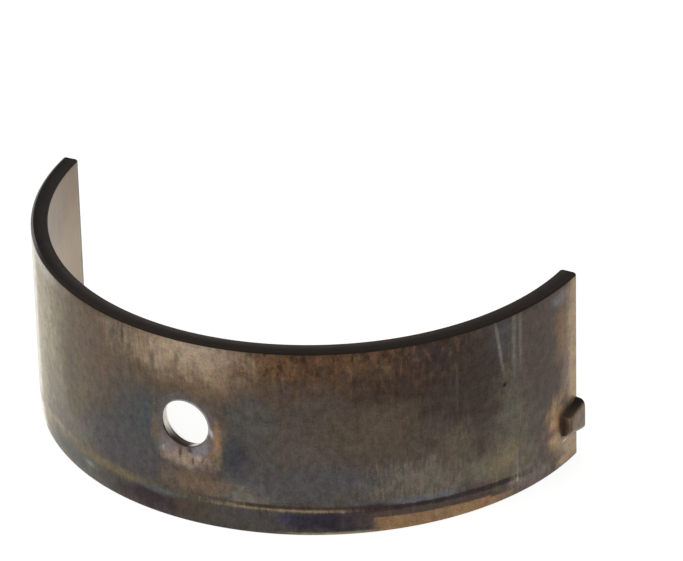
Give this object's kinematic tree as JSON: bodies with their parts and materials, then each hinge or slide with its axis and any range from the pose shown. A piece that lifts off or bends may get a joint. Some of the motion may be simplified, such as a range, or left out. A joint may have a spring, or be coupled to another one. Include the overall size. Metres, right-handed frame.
{
  "type": "engine bearing shell",
  "caption": "Half-round steel-backed plain bearing shell with a drilled dowel hole at its crown and a pressed locating tang at its parting face.",
  "frame": {"origin": "on the bearing axis, halfway along the shell", "axes": "+Z along the bearing axis, away from the side face that the shell stands on; -Y towards the crown and its drilled hole; +X towards the parting face with the locating tang"},
  "size_m": [0.0562, 0.0266, 0.0198],
  "materials": {
    "shell": "satin steel strip, brushed along the axis on the back, browned and blued by heat, with a grey-beige lining in the bore"
  },
  "bodies": {
    "root": {"bearing_shell": "shell"}
  },
  "joints": []
}
